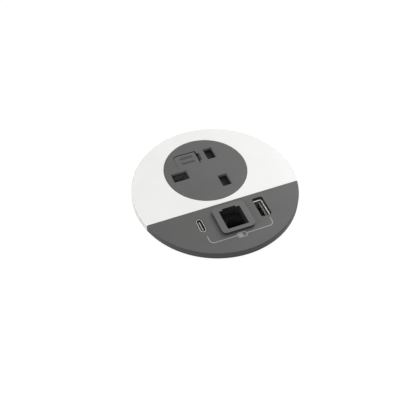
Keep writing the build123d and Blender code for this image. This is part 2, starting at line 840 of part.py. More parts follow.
def usb_a_shell():
    """Folded metal shell whose mouth is turned out and opened by a chamfer."""
    body = pad(usb_a_x, usb_a_y, usb_a_w, usb_a_d, 0.5, usb_board_z, usb_a_top)
    over = 2 * usb_a_flare
    body += pad(usb_a_x, usb_a_y, usb_a_w + over, usb_a_d + over, 0.7, usb_a_top - usb_a_flare_h, usb_a_top)
    inner_w = usb_a_w - 2 * usb_a_wall
    inner_d = usb_a_d - 2 * usb_a_wall
    floor = usb_board_z + usb_a_floor
    body -= block(around(usb_a_x, inner_w), around(usb_a_y, inner_d), (floor, usb_a_top + 1))
    mouth_face = Rectangle(inner_w + over, inner_d + over)
    return body - Pos(usb_a_x, usb_a_y, usb_a_top) * extrude(mouth_face, -usb_a_flare, taper=45)


def usb_a_tongue_x():
    """The tongue is nearer the right wall, and its pads face left."""
    return usb_a_x + usb_a_w / 2 - usb_a_wall - tongue_a_gap - tongue_a_t


def usb_a_tongue():
    x = usb_a_tongue_x()
    z = (usb_board_z + usb_a_floor, usb_a_top - tongue_a_drop)
    return block((x, x + tongue_a_t), around(usb_a_y, tongue_a_d), z)


def usb_a_pins():
    """Four pads on the left face of the tongue; the outer two are longer."""
    x = usb_a_tongue_x()
    pads = []
    for place in pad_a_spots:
        top = usb_a_top - tongue_a_drop - (1.0 if abs(place) > 2 else 2.0)
        z = (usb_board_z + usb_a_floor, top)
        pads.append(block((x - pad_a_t, x), around(usb_a_y + place, pad_a_w), z))
    return Compound(children=pads)


def usb_c_shell():
    body = oval(usb_c_x, usb_c_y, usb_c_w, usb_c_d, usb_board_z, usb_c_top)
    w = usb_c_w - 2 * usb_c_wall
    d = usb_c_d - 2 * usb_c_wall
    return body - oval(usb_c_x, usb_c_y, w, d, usb_board_z + usb_c_floor, usb_c_top + 1)


def usb_c_tongue():
    z = (usb_board_z + usb_c_floor, usb_c_top - tongue_c_drop)
    return block(around(usb_c_x, tongue_c_t), around(usb_c_y, tongue_c_d), z)


def usb_c_pins():
    """Twelve thin pads on each face of the tongue."""
    top = usb_c_top - tongue_c_drop - pad_c_drop
    pads = []
    for i in range(12):
        y = around(usb_c_y + (i - 5.5) * pad_c_pitch, pad_c_w)
        for face_x in (usb_c_x - tongue_c_t / 2 - pad_c_t, usb_c_x + tongue_c_t / 2):
            pads.append(block((face_x, face_x + pad_c_t), y, (top - pad_c_h, top)))
    return Compound(children=pads)


def usb_board():
    low = usb_board_z - board_t
    board = post(0, 0, usb_board_r, low, usb_board_z)
    board &= block((-usb_board_x, usb_board_x), (-disc_r, charger_y), (low, usb_board_z))
    cut_w = jack_w + 2
    return board - block(around(0, cut_w), (-disc_r, jack_y + jack_d / 2 + 1), (low - 1, usb_board_z + 1))


def charger_board():
    return block((-charger_x, charger_x), (charger_y, charger_y + board_t), (-barrel_h, charger_top))


def transformer_core():
    """Square ring of ferrite with a middle leg, standing off the board by its bobbin."""
    y = around(core_y(), core_t)
    frame = block(around(core_x, core_w), y, around(core_z, core_h))
    window = (core_w - 3 * core_leg) / 2
    for side in (-1, 1):
        x = core_x + side * (core_leg + window) / 2
        frame -= block(around(x, window), (y[0] - 1, y[1] + 1), around(core_z, core_h - 2 * core_leg))
    return frame


def core_y():
    return charger_y + board_t + winding_r + winding_off


def transformer_bobbin():
    """Winding round the middle leg, with a flange at each end and a foot on the board."""
    inner_h = core_h - 2 * core_leg
    low = core_z - inner_h / 2
    body = post(core_x, core_y(), winding_r - flange_over, low, low + inner_h)
    foot_y = (charger_y + board_t, core_y())
    for z in (low, low + inner_h - flange_t):
        body += post(core_x, core_y(), winding_r, z, z + flange_t)
        body += block(around(core_x, foot_w), foot_y, (z, z + flange_t))
    return body - block(around(core_x, core_leg), around(core_y(), core_t), (low - 1, low + inner_h + 1))


def capacitors():
    """Three round capacitors that lie square to the board."""
    back = charger_y + board_t
    can = Rot(90, 0, 0) * Cylinder(can_r, can_l)
    small_can = Rot(90, 0, 0) * Cylinder(small_can_r, small_can_l)
    cans = [Pos(can_x, back + can_l / 2, can_up - barrel_h) * can]
    for up in (small_can_up, small_can_up + small_can_pitch):
        cans.append(Pos(small_can_x, back + small_can_l / 2, up - barrel_h) * small_can)
    return Compound(children=cans)


def rear_cover():
    cover = post(0, 0, cover_r, cover_z, -barrel_h)
    cover -= pad(0, inlet_y, inlet_w + 2 * fit, inlet_d + 2 * fit, inlet_r, cover_z - 1, 0)
    cover -= post(0, port_y, cable_hole_r, cover_z - 1, 0)
    for x, y, top in cover_boss_spots():
        cover -= post(x, y, cover_screw_r + screw_gap, cover_z - 1, 0)
        cover -= post(x, y, cover_screw_head_r + fit, cover_z - 1, cover_z + cover_screw_head_h)
    for i in range(5):
        for side in (-1, 1):
            cover -= oval(side * (vent_x + i * vent_pitch), vent_y, vent_w, vent_l, cover_z - 1, 0)
    return cover


def mains_inlet():
    body = pad(0, inlet_y, inlet_w, inlet_d, inlet_r, inlet_mouth, inlet_top)
    rim = 2 * inlet_rim
    body += pad(0, inlet_y, inlet_w + rim, inlet_d + rim, inlet_r, cover_z - inlet_rim, cover_z)
    inner = (inlet_w - 2 * inlet_wall, inlet_d - 2 * inlet_wall)
    body -= pad(0, inlet_y, *inner, 1.0, inlet_mouth - 1, inlet_floor)
    for i in (-1, 0, 1):
        body -= post(i * inlet_pin_pitch, inlet_y, inlet_pin_r, inlet_floor - 1, inlet_top + 1)
    for side in (-1, 1):
        edge = side * inlet_w / 2
        tip = (edge + side * inlet_latch, -barrel_h)
        barb = [(edge, -barrel_h), tip, (edge, -barrel_h + inlet_latch_h)]
        body += outline_xz(barb, inlet_y - inlet_latch_w / 2, inlet_y + inlet_latch_w / 2)
    return body


def inlet_pins():
    pins = []
    for i in (-1, 0, 1):
        tip = inlet_earth_tip if i == 0 else inlet_pin_tip
        pins.append(post(i * inlet_pin_pitch, inlet_y, inlet_pin_r, tip, inlet_tail_top))
    return Compound(children=pins)


def slip_washer():
    return ring(nut_r - washer_in, barrel_r + washer_gap, -desk_t - washer_t, -desk_t)


def clamp_nut():
    top = -desk_t - washer_t - nut_under
    body = ring(nut_r, barrel_r + nut_gap, top - nut_h, top)
    for i in range(nut_scallops):
        turn = math.radians(i * 360 / nut_scallops)
        reach = nut_r + scallop_r * 0.45
        x = reach * math.cos(turn)
        y = reach * math.sin(turn)
        body -= post(x, y, scallop_r, top - nut_h - 1, top - scallop_top)
    return body


pieces = {
    "white_trim": white_trim(),
    "data_plate": data_plate(),
    "socket_face": socket_face(),
    "fuse_carrier": fuse_carrier(),
    "fuse_tube": fuse_tube(),
    "fuse_caps": fuse_caps(),
    "fuse_link": inside_fuse(link_r),
    "shutter": shutter(),
    "shutter_spring": shutter_spring(),
    "socket_base": socket_base(),
    "live_contact": live_contact(),
    "neutral_contact": line_clip(neutral_y),
    "earth_contact": earth_contact(),
    "fuse_clip": fuse_clip(),
    "base_screws": base_screws(),
    "face_screws": face_screws(),
    "plate_screws": plate_screws(),
    "jack_frame": jack_frame(),
    "data_jack": data_jack(),
    "front_jack_pins": jack_pins(well_z - jack_well, 1),
    "rear_jack_pins": jack_pins(well_z - jack_h, -1),
    "usb_a_shell": usb_a_shell(),
    "usb_a_tongue": usb_a_tongue(),
    "usb_a_pins": usb_a_pins(),
    "usb_c_shell": usb_c_shell(),
    "usb_c_tongue": usb_c_tongue(),
    "usb_c_pins": usb_c_pins(),
    "usb_board": usb_board(),
    "charger_board": charger_board(),
    "transformer_core": transformer_core(),
    "transformer_bobbin": transformer_bobbin(),
    "capacitors": capacitors(),
    "body_shell": body_shell(),
    "rear_cover": rear_cover(),
    "cover_screws": cover_screws(),
    "mains_inlet": mains_inlet(),
    "inlet_pins": inlet_pins(),
    "slip_washer": slip_washer(),
    "clamp_nut": clamp_nut(),
}

for name, solid in pieces.items():
    export_step(solid, f"parts/{name}.step")
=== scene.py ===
import math

import bmesh
import bpy
from mathutils import Matrix, Vector


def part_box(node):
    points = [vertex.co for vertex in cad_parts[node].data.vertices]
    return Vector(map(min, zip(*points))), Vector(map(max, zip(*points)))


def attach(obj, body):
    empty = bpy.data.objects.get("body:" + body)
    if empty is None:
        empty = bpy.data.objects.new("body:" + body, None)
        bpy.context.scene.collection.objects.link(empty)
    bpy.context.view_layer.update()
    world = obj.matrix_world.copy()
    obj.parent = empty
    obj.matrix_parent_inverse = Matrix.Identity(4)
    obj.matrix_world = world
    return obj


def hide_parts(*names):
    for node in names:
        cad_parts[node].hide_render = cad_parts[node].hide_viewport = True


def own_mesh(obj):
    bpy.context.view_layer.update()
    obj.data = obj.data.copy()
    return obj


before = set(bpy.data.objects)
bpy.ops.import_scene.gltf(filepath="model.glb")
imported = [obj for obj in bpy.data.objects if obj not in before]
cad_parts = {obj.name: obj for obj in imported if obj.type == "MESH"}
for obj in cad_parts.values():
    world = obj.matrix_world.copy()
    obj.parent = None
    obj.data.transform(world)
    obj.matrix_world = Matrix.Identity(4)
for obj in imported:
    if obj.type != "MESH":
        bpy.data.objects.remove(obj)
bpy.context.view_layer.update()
mm = 0.001


# Barrel and flange
# One black nylon moulding: the flange lies on the desk and the barrel goes down through the hole.
# The plain collar ends in a coarse thread, which the ring nut climbs to clamp the desk top.

def moulded_plastic(name, colour, roughness, grain, depth, mottle=0.05, gloss=0.5, gloss_spread=0.06):
    """Plastic from a spark-eroded mould: fine grain, with its tone and shine a little uneven."""
    material = bpy.data.materials.new(name)
    material.use_nodes = True
    nodes, links = material.node_tree.nodes, material.node_tree.links
    surface = nodes["Principled BSDF"]
    surface.inputs["Specular IOR Level"].default_value = gloss
    place = nodes.new("ShaderNodeTexCoord")

    cloud = nodes.new("ShaderNodeTexNoise")
    cloud.inputs["Scale"].default_value = 70
    cloud.inputs["Detail"].default_value = 3
    links.new(place.outputs["Object"], cloud.inputs["Vector"])
    tone = nodes.new("ShaderNodeValToRGB")
    tone.color_ramp.elements[0].position = 0.35
    tone.color_ramp.elements[0].color = [c * (1 - mottle) for c in colour] + [1]
    tone.color_ramp.elements[1].position = 0.65
    tone.color_ramp.elements[1].color = [min(1, c * (1 + mottle)) for c in colour] + [1]
    links.new(cloud.outputs["Fac"], tone.inputs["Fac"])
    links.new(tone.outputs["Color"], surface.inputs["Base Color"])

    pits = nodes.new("ShaderNodeTexNoise")
    pits.inputs["Scale"].default_value = 1 / grain
    pits.inputs["Detail"].default_value = 2
    links.new(place.outputs["Object"], pits.inputs["Vector"])
    shine = nodes.new("ShaderNodeMapRange")
    shine.inputs["To Min"].default_value = roughness - gloss_spread
    shine.inputs["To Max"].default_value = roughness + gloss_spread
    links.new(pits.outputs["Fac"], shine.inputs["Value"])
    links.new(shine.outputs["Result"], surface.inputs["Roughness"])
    bump = nodes.new("ShaderNodeBump")
    bump.inputs["Strength"].default_value = 0.6
    bump.inputs["Distance"].default_value = depth
    links.new(pits.outputs["Fac"], bump.inputs["Height"])
    links.new(bump.outputs["Normal"], surface.inputs["Normal"])
    return material


def dress(material, *names):
    """Gives solids of the frame their finish."""
    for name in names:
        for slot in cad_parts[name].material_slots:
            slot.material = material


black_nylon = moulded_plastic("black_nylon", (0.018, 0.018, 0.019), 0.46, 0.5 * mm, 0.02 * mm)
dress(black_nylon, "body_shell")


# Charger board and what stands on it
# A green glass-fibre board stands upright between two pairs of ribs. It carries a small transformer
# with a taped winding, and three sleeved capacitors.

def board_finish(name, colour):
    """Solder mask over copper tracks, which show as paler raised lanes."""
    material = moulded_plastic(name, colour, 0.34, 0.3 * mm, 0.01 * mm)
    nodes, links = material.node_tree.nodes, material.node_tree.links
    place = nodes.new("ShaderNodeTexCoord")
    lanes = nodes.new("ShaderNodeTexBrick")
    lanes.inputs["Scale"].default_value = 180
    lanes.inputs["Mortar Size"].default_value = 0.03
    lanes.inputs["Color1"].default_value = [c * 0.75 for c in colour] + [1]
    lanes.inputs["Color2"].default_value = [c * 1.2 for c in colour] + [1]
    lanes.inputs["Mortar"].default_value = [c * 1.9 for c in colour] + [1]
    turned = nodes.new("ShaderNodeMapping")
    turned.inputs["Rotation"].default_value = (math.radians(90), 0, 0)
    links.new(place.outputs["Object"], turned.inputs["Vector"])
    links.new(turned.outputs["Vector"], lanes.inputs["Vector"])
    links.new(lanes.outputs["Color"], nodes["Principled BSDF"].inputs["Base Color"])
    return material


board_green = (0.012, 0.11, 0.045)
dress(board_finish("solder_mask", board_green), "charger_board")
ground_ferrite = moulded_plastic("ground_ferrite", (0.045, 0.044, 0.047), 0.55, 0.25 * mm, 0.03 * mm)
dress(ground_ferrite, "transformer_core")
yellow_tape = moulded_plastic("yellow_tape", (0.62, 0.42, 0.05), 0.3, 1.2 * mm, 0.03 * mm, mottle=0.12)
dress(yellow_tape, "transformer_bobbin")
black_sleeve = moulded_plastic("black_sleeve", (0.02, 0.02, 0.03), 0.22, 1.5 * mm, 0.01 * mm)
dress(black_sleeve, "capacitors")


# USB board and its two ports
# A second board lies across the front of the barrel. Plated steel shells stand on it, a tall one and
# an oval one, each round a moulded tongue with gilt contacts, painted darker as shade.

amount_input, low_input, high_input = 0, 6, 7   # where a colour mix has its amount and its two colours


def mix_tones(tree, amount, low, high):
    """Blend of two tones by an amount from 0 to 1: a tuple is a tone of its own, the rest are sockets."""
    mix = tree.nodes.new("ShaderNodeMix")
    mix.data_type = "RGBA"
    for place, value in ((amount_input, amount), (low_input, low), (high_input, high)):
        if isinstance(value, tuple):
            mix.inputs[place].default_value = value + (1,)
        else:
            tree.links.new(value, mix.inputs[place])
    return mix


def paint_side_shading(material, sides):
    """Paints light and shade on the steep faces: a tone of their own, blended in over rounded edges."""
    steep_z, level_z = 0.25, 0.75
    tree = material.node_tree
    base = tree.nodes["Principled BSDF"].inputs["Base Color"]
    top = base.links[0].from_socket
    place = tree.nodes.new("ShaderNodeTexCoord")
    facing = tree.nodes.new("ShaderNodeSeparateXYZ")
    tree.links.new(place.outputs["Normal"], facing.inputs["Vector"])
    level = tree.nodes.new("ShaderNodeMapRange")
    level.inputs["From Min"].default_value = steep_z
    level.inputs["From Max"].default_value = level_z
    tree.links.new(facing.outputs["Z"], level.inputs["Value"])
    blend = mix_tones(tree, level.outputs["Result"], sides, top)
    # The painted side shading is found later by this node name.
    blend.name = "sides"
    tree.links.new(blend.outputs[2], base)
    return material


def bright_metal(name, colour, roughness, streak=(1, 1, 30), gloss_spread=0.08):
    """Metal with fine draw marks along one way and slightly uneven shine."""
    material = bpy.data.materials.new(name)
    material.use_nodes = True
    nodes, links = material.node_tree.nodes, material.node_tree.links
    surface = nodes["Principled BSDF"]
    surface.inputs["Metallic"].default_value = 1
    place = nodes.new("ShaderNodeTexCoord")
    drawn = nodes.new("ShaderNodeMapping")
    drawn.inputs["Scale"].default_value = streak
    links.new(place.outputs["Object"], drawn.inputs["Vector"])
    marks = nodes.new("ShaderNodeTexNoise")
    marks.inputs["Scale"].default_value = 400
    marks.inputs["Detail"].default_value = 4
    links.new(drawn.outputs["Vector"], marks.inputs["Vector"])
    tone = nodes.new("ShaderNodeValToRGB")
    tone.color_ramp.elements[0].position = 0.3
    tone.color_ramp.elements[0].color = [c * 0.86 for c in colour] + [1]
    tone.color_ramp.elements[1].position = 0.7
    tone.color_ramp.elements[1].color = [min(1, c * 1.06) for c in colour] + [1]
    links.new(marks.outputs["Fac"], tone.inputs["Fac"])
    links.new(tone.outputs["Color"], surface.inputs["Base Color"])
    shine = nodes.new("ShaderNodeMapRange")
    shine.inputs["To Min"].default_value = roughness - gloss_spread
    shine.inputs["To Max"].default_value = roughness + gloss_spread
    links.new(marks.outputs["Fac"], shine.inputs["Value"])
    links.new(shine.outputs["Result"], surface.inputs["Roughness"])
    bump = nodes.new("ShaderNodeBump")
    bump.inputs["Strength"].default_value = 0.25
    bump.inputs["Distance"].default_value = 0.01 * mm
    links.new(marks.outputs["Fac"], bump.inputs["Height"])
    links.new(bump.outputs["Normal"], surface.inputs["Normal"])
    return material


# The USB contacts' gilt is a darker copy of the coupler's gilt, painted as shade.
painted_shade_gilt = bright_metal("painted_shade_gilt", (0.20, 0.15, 0.08), 0.5)
painted_side_shade = (0.02, 0.02, 0.02)
dress(board_finish("solder_mask_usb", board_green), "usb_board")
# Painted light and shade: each shell's upward rim takes a lit tone, a painted highlight on the tall port,
# and its steep walls a darker painted shade; each tongue's sides are painted near black as shade.
for port, painted_lit_rim, painted_wall_shading, roughness, tongue_tone in (
    ("a", (0.97, 0.96, 0.94), (0.30, 0.30, 0.29), 0.65, (0.25, 0.24, 0.22)),
    ("c", (0.46, 0.45, 0.43), (0.22, 0.22, 0.21), 0.4, (0.30, 0.29, 0.26)),
):
    shell_nickel = bright_metal("shell_nickel_" + port, painted_lit_rim, roughness)
    dress(paint_side_shading(shell_nickel, painted_wall_shading), "usb_" + port + "_shell")
    tongue = moulded_plastic("tongue_" + port, tongue_tone, 0.4, 0.3 * mm, 0.01 * mm)
    dress(paint_side_shading(tongue, painted_side_shade), "usb_" + port + "_tongue")
    dress(painted_shade_gilt, "usb_" + port + "_pins")


# Data coupler
# A black plastic block with a jack at each end, held inside the raised frame's neck. Eight sprung
# gilt wires slope into each mouth.

jack_black = moulded_plastic("jack_black", (0.008, 0.008, 0.008), 0.6, 0.4 * mm, 0.01 * mm, gloss=0.1)
# The coupler's steep faces are painted paler than its top, as painted light in its dark mouths.
dress(paint_side_shading(jack_black, (0.03, 0.03, 0.029)), "data_jack")
gilt = bright_metal("gilt", (0.62, 0.46, 0.22), 0.4)
dress(gilt, "front_jack_pins", "rear_jack_pins")


# Socket base and contacts
# A dark grey thermoset block with a well for each pin. Brass clips stand in the wells, and the live
# one has a finger that presses on the fuse's cap.

brass = bright_metal("rolled_brass", (0.72, 0.50, 0.20), 0.28)
thermoset = moulded_plastic("thermoset", (0.18, 0.18, 0.18), 0.55, 0.4 * mm, 0.02 * mm, gloss=0.3)
dress(thermoset, "socket_base")
dress(brass, "live_contact", "neutral_contact", "earth_contact", "fuse_clip", "inlet_pins")


# Shutter and its spring
# One black acetal slide covers the live and neutral apertures. The earth pin pushes its ramp, which
# is painted paler as a painted highlight, and a coil of steel wire returns it: it shortens against the base
# as the slide opens.

def combine(tree, operation, first, second):
    """Maths on two values of a material, each a socket or a number."""
    node = tree.nodes.new("ShaderNodeMath")
    node.operation = operation
    for place, value in zip(node.inputs, (first, second)):
        if isinstance(value, (int, float)):
            place.default_value = value
        else:
            tree.links.new(value, place)
    return node.outputs[0]


def own_place(tree):
    """Where a point of the surface lies on the object, as x, y and z."""
    place = tree.nodes.new("ShaderNodeTexCoord")
    spot = tree.nodes.new("ShaderNodeSeparateXYZ")
    tree.links.new(place.outputs["Object"], spot.inputs["Vector"])
    return spot.outputs["X"], spot.outputs["Y"], spot.outputs["Z"]


def paint_ramp_highlight(material, edge_x, ramp_highlight):
    """Paints a highlight: pales the slide left of an edge, on the earth pin's ramp."""
    tree = material.node_tree
    base = tree.nodes["Principled BSDF"].inputs["Base Color"]
    x = own_place(tree)[0]
    left = combine(tree, "LESS_THAN", x, edge_x)
    blend = mix_tones(tree, left, base.links[0].from_socket, ramp_highlight)
    tree.links.new(blend.outputs[2], base)
    return material


# The ramp's paler tone is a painted highlight where light catches it.
ramp_edge = -10 * mm
painted_ramp_highlight = (0.045, 0.045, 0.045)
acetal_black = moulded_plastic("acetal_black", (0.010, 0.010, 0.010), 0.6, 0.5 * mm, 0.005 * mm, gloss=0.15)
dress(paint_ramp_highlight(acetal_black, ramp_edge, painted_ramp_highlight), "shutter")


def new_piece(name, mesh, material, body):
    """Adds a mesh as a piece that rides on a body."""
    data = bpy.data.meshes.new(name)
    mesh.normal_update()
    mesh.to_mesh(data)
    mesh.free()
    piece = bpy.data.objects.new(name, data)
    bpy.context.scene.collection.objects.link(piece)
    data.materials.append(material)
    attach(piece, body)
    return piece


def coil_spring(low, high, wire, turns, steps=24, corners=8):
    """Round wire wound along x from one end of a box to the other."""
    mesh = bmesh.new()
    middle = (low + high) / 2
    radius = (high.z - low.z - wire) / 2
    run = high.x - low.x - wire
    count = turns * steps
    rings = []
    for i in range(count + 1):
        turn = 2 * math.pi * i / steps
        outward = Vector((0, math.cos(turn), math.sin(turn)))
        along = Vector((run / (2 * math.pi * turns * radius), -math.sin(turn), math.cos(turn))).normalized()
        across = along.cross(outward)
        centre = Vector((low.x + wire / 2 + run * i / count, middle.y, middle.z)) + outward * radius
        ring = []
        for k in range(corners):
            corner = 2 * math.pi * k / corners
            offset = outward * math.cos(corner) + across * math.sin(corner)
            ring.append(mesh.verts.new(centre + offset * wire / 2))
        rings.append(ring)
    for a, b in zip(rings, rings[1:]):
        for k in range(corners):
            mesh.faces.new((a[k], a[(k + 1) % corners], b[(k + 1) % corners], b[k]))
    mesh.faces.new(rings[0])
    mesh.faces.new(rings[-1])
    bmesh.ops.recalc_face_normals(mesh, faces=mesh.faces)
    return mesh


wire_thick = 0.36 * mm
coil_turns = 7
coil_low, coil_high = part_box("shutter_spring")
spring_wire = bright_metal("spring_wire", (0.55, 0.55, 0.56), 0.3)
coil_mesh = coil_spring(coil_low, coil_high, wire_thick, coil_turns)
coil = new_piece("return_coil", coil_mesh, spring_wire, "module")
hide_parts("shutter_spring")
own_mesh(coil)


# Screws
# Zinc-plated pan heads with a cross recess and a cut thread. They hold the socket base, the socket
# face, the data plate and the rear cover.

def thread(mesh, root, crest, pitch, low, high, land=0.28, bite=0.1 * mm, steps=20):
    """Helical ridge that stands on a round root and runs out at both ends."""
    count = round((high - low) / pitch * steps)
    run_out = steps / 6
    rows = []
    for i in range(count + 1):
        turn = 2 * math.pi * i / steps
        fade = min(1, i / run_out, (count - i) / run_out)
        top = root + (crest - root) * fade
        z = low + pitch * i / steps
        row = []
        for radius, dz in ((root - bite, -land), (top, -land / 2), (top, land / 2), (root - bite, land)):
            row.append(mesh.verts.new((radius * math.cos(turn), radius * math.sin(turn), z + dz * pitch)))
        rows.append(row)
    for a, b in zip(rows, rows[1:]):
        for k in range(3):
            mesh.faces.new((a[k], b[k], b[k + 1], a[k + 1]))
    mesh.faces.new(rows[0])
    mesh.faces.new(rows[-1][::-1])


def cross_screws(name, node, spots, seat, tip, head_radius, head_height, shank_radius):
    """A cross-head screw at each spot, with its head on the far side of the seat from its tip."""
    way = 1 if tip > seat else -1
    sides, shank_sides = 28, 20
    arm, half_slot = head_radius * 0.62, head_radius * 0.14
    foot_share, foot_z = 0.55, -head_height * 0.25
    outline = []
    for k in range(4):
        turn = Matrix.Rotation(math.radians(90 * k), 2)
        for corner in ((arm, -half_slot), (arm, half_slot), (half_slot, half_slot)):
            outline.append(turn @ Vector(corner))
    corners = len(outline)
    profile = [(head_radius * 0.86, -head_height), (head_radius, -head_height * 0.72), (head_radius, 0)]
    length = abs(tip - seat)
    root, point = shank_radius * 0.72, shank_radius * 0.6
    pitch = shank_radius * 0.8
    mesh = bmesh.new()
    for x, y in spots:
        start = len(mesh.verts)
        rings = []
        for radius, depth in profile:
            ring = []
            for k in range(sides):
                turn = 2 * math.pi * k / sides
                ring.append(mesh.verts.new((radius * math.cos(turn), radius * math.sin(turn), depth)))
            rings.append(ring)
        rim = [mesh.verts.new((p.x, p.y, -head_height)) for p in outline]
        foot = [mesh.verts.new((p.x * foot_share, p.y * foot_share, foot_z)) for p in outline]
        for a, b in zip(rings, rings[1:]):
            for k in range(sides):
                mesh.faces.new((a[k], a[(k + 1) % sides], b[(k + 1) % sides], b[k]))
        for k in range(corners):
            mesh.faces.new((rim[k], foot[k], foot[(k + 1) % corners], rim[(k + 1) % corners]))
        mesh.faces.new(foot)
        loop = [mesh.edges.get((rings[0][k], rings[0][(k + 1) % sides])) for k in range(sides)]
        loop += [mesh.edges.get((rim[k], rim[(k + 1) % corners])) for k in range(corners)]
        bmesh.ops.triangle_fill(mesh, edges=loop, use_beauty=True)
        mesh.faces.new(rings[-1])
        core = bmesh.ops.create_cone(
            mesh, segments=shank_sides, radius1=root, radius2=point, depth=length, cap_ends=True
        )
        bmesh.ops.translate(mesh, verts=core["verts"], vec=(0, 0, length / 2))
        thread(mesh, root, shank_radius, pitch, shank_radius, length - pitch / 2)
        mesh.verts.ensure_lookup_table()
        own = mesh.verts[start:]
        place = Matrix.Translation((x, y, seat)) @ Matrix.Diagonal((1, 1, way, 1))
        bmesh.ops.transform(mesh, matrix=place, verts=own)
    bmesh.ops.recalc_face_normals(mesh, faces=mesh.faces)
    piece = new_piece(name, mesh, zinc, "module")
    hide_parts(node)


zinc = bright_metal("zinc_plate", (0.66, 0.66, 0.63), 0.3)
base_head_r, base_head_h, base_shank_r = 1.9 * mm, 1.5 * mm, 1 * mm
boss_spots = [(-12.5 * mm, 3 * mm), (18.2 * mm, 19.6 * mm), (18.2 * mm, 8.7 * mm)]
base_low, base_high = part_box("base_screws")
base_seat = base_low.z + base_head_h
cross_screws(
    "base_screw_set", "base_screws", boss_spots, base_seat, base_high.z,
    base_head_r, base_head_h, base_shank_r,
)

face_head_r, face_head_h, face_shank_r = 2.6 * mm, 1 * mm, 1.25 * mm
face_low, face_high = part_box("face_screws")
face_seat = face_high.z - face_head_h
ear_x = face_high.x - face_head_r
socket_y = (face_low.y + face_high.y) / 2
ear_spots = [(-ear_x, socket_y), (ear_x, socket_y)]
cross_screws(
    "face_screw_set", "face_screws", ear_spots, face_seat, face_low.z,
    face_head_r, face_head_h, face_shank_r,
)

plate_head_r, plate_head_h, plate_shank_r = 2.3 * mm, 1.4 * mm, 1 * mm
plate_low, plate_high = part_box("plate_screws")
plate_x = plate_high.x - plate_head_r
plate_y = (plate_low.y + plate_high.y) / 2
plate_spots = [(-plate_x, plate_y), (plate_x, plate_y)]
cross_screws(
    "plate_screw_set", "plate_screws", plate_spots, 0, plate_high.z,
    plate_head_r, plate_head_h, plate_shank_r,
)

cover_head_r, cover_head_h, cover_shank_r = 2.6 * mm, 1.6 * mm, 1.3 * mm
boss_ring, boss_angles = 33.5 * mm, (20, 160, -35, -145)
cover_spots = []
for angle in boss_angles:
    turn = math.radians(angle)
    cover_spots.append((boss_ring * math.cos(turn), boss_ring * math.sin(turn)))
cover_low, cover_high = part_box("cover_screws")
cover_seat = cover_low.z + cover_head_h
cross_screws(
    "cover_screw_set", "cover_screws", cover_spots, cover_seat, cover_high.z,
    cover_head_r, cover_head_h, cover_shank_r,
)


# Fuse in its carrier
# A glass tube with two nickel caps and a thin wire along its middle stands in a grey carrier. Two
# bands of fine ribs on its face give a grip, and a sloping notch beside it takes a blade to lift it out.

def clear_glass(name):
    """Drawn glass tube, faintly green, with a little unevenness along it."""
    material = bpy.data.materials.new(name)
    material.use_nodes = True
    nodes, links = material.node_tree.nodes, material.node_tree.links
    surface = nodes["Principled BSDF"]
    surface.inputs["Base Color"].default_value = (0.93, 0.97, 0.95, 1)
    surface.inputs["Transmission Weight"].default_value = 1
    surface.inputs["IOR"].default_value = 1.5
    place = nodes.new("ShaderNodeTexCoord")
    drawn = nodes.new("ShaderNodeMapping")
    drawn.inputs["Scale"].default_value = (1, 1, 0.1)
    waves = nodes.new("ShaderNodeTexNoise")
    waves.inputs["Scale"].default_value = 600
    links.new(place.outputs["Object"], drawn.inputs["Vector"])
    links.new(drawn.outputs["Vector"], waves.inputs["Vector"])
    shine = nodes.new("ShaderNodeMapRange")
    shine.inputs["To Min"].default_value = 0.01
    shine.inputs["To Max"].default_value = 0.07
    links.new(waves.outputs["Fac"], shine.inputs["Value"])
    links.new(shine.outputs["Result"], surface.inputs["Roughness"])
    return material


def spark_grey(name, tone, sides):
    """The warm grey of the plates, with a painted side tone, lighter or darker than the top, standing for
    how light falls on the steep sides.
    """
    colour = (tone, tone * 0.98, tone * 0.97)
    grained = moulded_plastic(name, colour, 0.5, 0.35 * mm, 0.02 * mm, gloss=0.35)
    return paint_side_shading(grained, (sides, sides, sides))


nickel = bright_metal("nickel_plate", (0.86, 0.85, 0.83), 0.34)
# The carrier's steep sides, its grip ribs' sides too, are painted near black as painted shade.
carrier_grey = spark_grey("carrier_grey", 0.105, 0.012)
dress(carrier_grey, "fuse_carrier")
dress(clear_glass("fuse_glass"), "fuse_tube")
dress(nickel, "fuse_caps", "fuse_link")


def rounded_bar(mesh, x, y, width, depth, low, high, corner=8):
    """Low bar with round ends, softened along its top edge."""
    radius = min(width, depth) / 2
    outline = []
    for quarter in range(4):
        cx = x + (width / 2 - radius) * (1 if quarter in (0, 3) else -1)
        cy = y + (depth / 2 - radius) * (1 if quarter in (0, 1) else -1)
        for k in range(corner):
            turn = math.radians(90) * (quarter + k / (corner - 1))
            outline.append((cx + radius * math.cos(turn), cy + radius * math.sin(turn)))
    shrink = 0.25 * radius
    shoulder = high - (high - low) * 0.3
    bottom = [mesh.verts.new((px, py, low)) for px, py in outline]
    middle = [mesh.verts.new((px, py, shoulder)) for px, py in outline]
    top = []
    for px, py in outline:
        top_x = px + (x - px) * shrink / (width / 2)
        top_y = py + (y - py) * shrink / (depth / 2)
        top.append(mesh.verts.new((top_x, top_y, high)))
    n = len(outline)
    for a, b in ((bottom, middle), (middle, top)):
        for k in range(n):
            mesh.faces.new((a[k], a[(k + 1) % n], b[(k + 1) % n], b[k]))
    mesh.faces.new(top)


grip_offset = 0.6 * mm
band_places = (26.9 * mm, 23.1 * mm)
band_ribs = 4
rib_pitch = 0.48 * mm
rib_length, rib_width, rib_height = 8 * mm, 0.2 * mm, 0.13 * mm
rib_foot = 0.1 * mm
carrier_low, carrier_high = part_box("fuse_carrier")
rib_x = (carrier_low.x + carrier_high.x) / 2 + grip_offset
rib_low, rib_high = carrier_high.z - rib_foot, carrier_high.z + rib_height
grips = bmesh.new()
for band_y in band_places:
    for k in range(band_ribs):
        rib_y = band_y + (k - (band_ribs - 1) / 2) * rib_pitch
        rounded_bar(grips, rib_x, rib_y, rib_length, rib_width, rib_low, rib_high)
new_piece("carrier_grips", grips, carrier_grey, "fuse_drawer")


# Socket face
# A round insert in nearly the same grey as the data plate, with chamfered apertures for the plug's
# pins. The pocket that the fuse carrier stands in opens through it, with the notch beside it.

